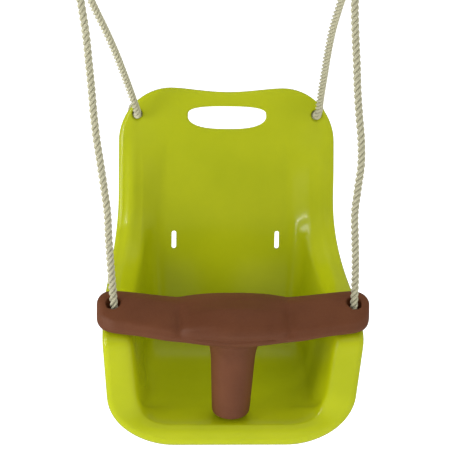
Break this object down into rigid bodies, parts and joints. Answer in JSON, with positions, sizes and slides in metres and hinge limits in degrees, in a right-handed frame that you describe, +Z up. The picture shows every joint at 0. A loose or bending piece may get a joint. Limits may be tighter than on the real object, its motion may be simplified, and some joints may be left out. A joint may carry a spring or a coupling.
{
  "type": "toddler bucket swing",
  "caption": "Moulded toddler swing seat with a T-shaped safety bar that slides up two front ropes, hung from steel rings by looped and knotted ropes.",
  "frame": {"origin": "on the hang line, which is the top inside of the two hanging rings, at the middle plane of the seat", "axes": "+Z up, -Y towards the front of the seat, +X to the seated child's left"},
  "size_m": [0.388, 0.3636, 0.7321],
  "materials": {
    "shell": "gloss",
    "bar": "matte",
    "rope": "matte",
    "clamp": "satin",
    "thimble": "satin",
    "ring": "satin"
  },
  "bodies": {
    "rings": {"hanging_ring_left": "ring", "hanging_ring_right": "ring"},
    "seat": {"seat_shell": "shell", "rope_left": "rope", "rope_right": "rope", "back_knot_left": "rope", "back_knot_right": "rope", "front_knot_left": "rope", "front_knot_right": "rope", "rope_clamp_left": "clamp", "rope_clamp_right": "clamp", "thimble_left": "thimble", "thimble_right": "thimble"},
    "safety_bar": {"crossbar": "bar", "post": "bar"}
  },
  "joints": [
    {"name": "swing", "type": "hinge", "parent": "rings", "child": "seat", "pos_m": [-0.0295, 0, -0.044], "axis": [1, 0, 0], "range_deg": [-45, 45]},
    {"name": "bar_lift", "type": "slide", "parent": "seat", "child": "safety_bar", "axis": [-0.0393, 0.1808, 0.9827], "range_m": [0, 0.1]}
  ]
}
